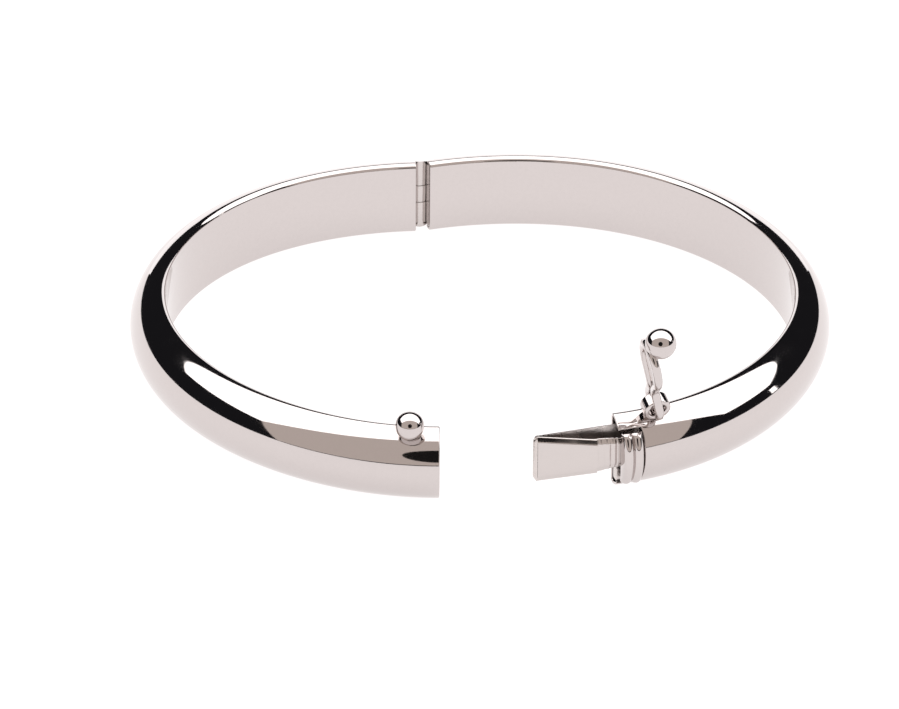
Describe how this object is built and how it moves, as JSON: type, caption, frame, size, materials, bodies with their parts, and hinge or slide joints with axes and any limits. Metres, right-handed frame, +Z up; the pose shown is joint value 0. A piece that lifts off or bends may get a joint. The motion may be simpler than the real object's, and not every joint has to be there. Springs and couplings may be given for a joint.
{
  "type": "bangle bracelet",
  "caption": "Hinged oval bangle bracelet in polished white metal, with hollow domed halves, a sprung tongue clasp with a thumb piece, and a swinging figure-eight safety catch.",
  "frame": {"origin": "centre of the bounding box in plan, at the height the lower rims rest on", "axes": "+Z up out of the wrist opening, -Y towards the clasp, +Y towards the hinge, +X from the plain half towards the half with the tongue"},
  "size_m": [0.0716, 0.0688, 0.0194],
  "materials": {
    "polished_white_gold": "mirror polish over rhodium, with fine wear scratches",
    "filed_white_gold": "filed and lightly polished, with filing marks across the tongue"
  },
  "bodies": {
    "left_half": {"left_band": "polished_white_gold", "left_hinge_plate": "filed_white_gold", "hinge_knuckle_upper": "filed_white_gold", "hinge_knuckle_lower": "filed_white_gold", "hinge_pin": "filed_white_gold", "clasp_mouth_block": "filed_white_gold", "catch_peg": "filed_white_gold", "catch_ball": "polished_white_gold"},
    "right_half": {"right_band": "polished_white_gold", "right_hinge_plate": "filed_white_gold", "hinge_knuckle_middle": "filed_white_gold", "tongue_end_plate": "filed_white_gold", "tongue_base_leaf": "filed_white_gold", "safety_eye": "polished_white_gold"},
    "spring_tongue": {"spring_leaf": "filed_white_gold", "thumb_piece": "polished_white_gold"},
    "safety": {"safety_wire": "polished_white_gold", "safety_tip_bead": "polished_white_gold"}
  },
  "joints": [
    {"name": "bangle_hinge", "type": "hinge", "parent": "left_half", "child": "right_half", "pos_m": [-0.00597, 0.03122, 0.00392], "axis": [0, 0, 1], "range_deg": [-16.25, 28.75]},
    {"name": "thumb_press", "type": "hinge", "parent": "right_half", "child": "spring_tongue", "pos_m": [0.00532, -0.03055, 0.00392], "axis": [0, 0, 1], "range_deg": [0, 2.5], "stiffness_Nm_per_rad": 0.46},
    {"name": "safety_swing", "type": "hinge", "parent": "right_half", "child": "safety", "pos_m": [0.01725, -0.02806, 0.00846], "axis": [0.3237, -0.8465, -0.4226], "range_deg": [-80, 75]}
  ]
}
